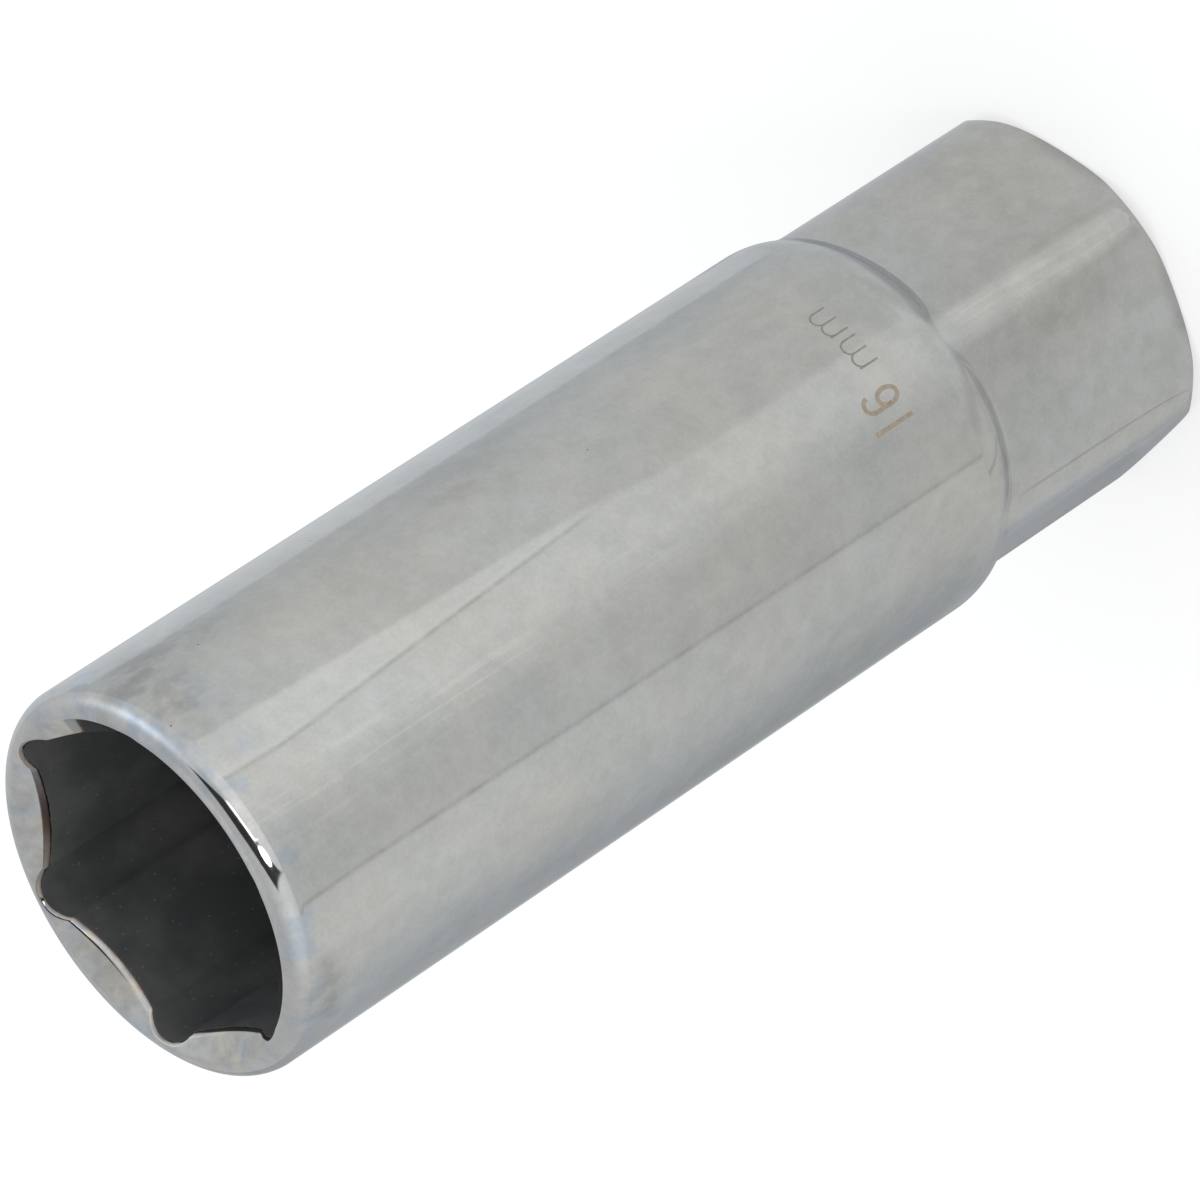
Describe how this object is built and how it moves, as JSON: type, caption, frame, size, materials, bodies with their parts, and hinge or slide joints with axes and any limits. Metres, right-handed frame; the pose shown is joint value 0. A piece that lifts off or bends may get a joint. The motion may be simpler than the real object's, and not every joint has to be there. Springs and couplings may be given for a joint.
{
  "type": "spark plug socket",
  "caption": "Deep chrome steel socket with a relieved hexagon mouth, a round bore with a rubber sleeve that grips the plug, and a square drive hole in a drive end shaped as a wrench hexagon.",
  "frame": {"origin": "centre of the drive end's face, which the socket stands on", "axes": "+Z along the socket's axis from the drive end to the hexagon mouth, +X square to a flat of the hexagon and to a flat of the drive square"},
  "size_m": [0.0214, 0.0214, 0.065],
  "materials": {
    "chrome_steel": "satin bright chrome plate with faint cloudy stains, black inside the mouth",
    "black_rubber": "matt black rubber"
  },
  "bodies": {
    "root": {"socket_body": "chrome_steel", "rubber_insert": "black_rubber"}
  },
  "joints": []
}
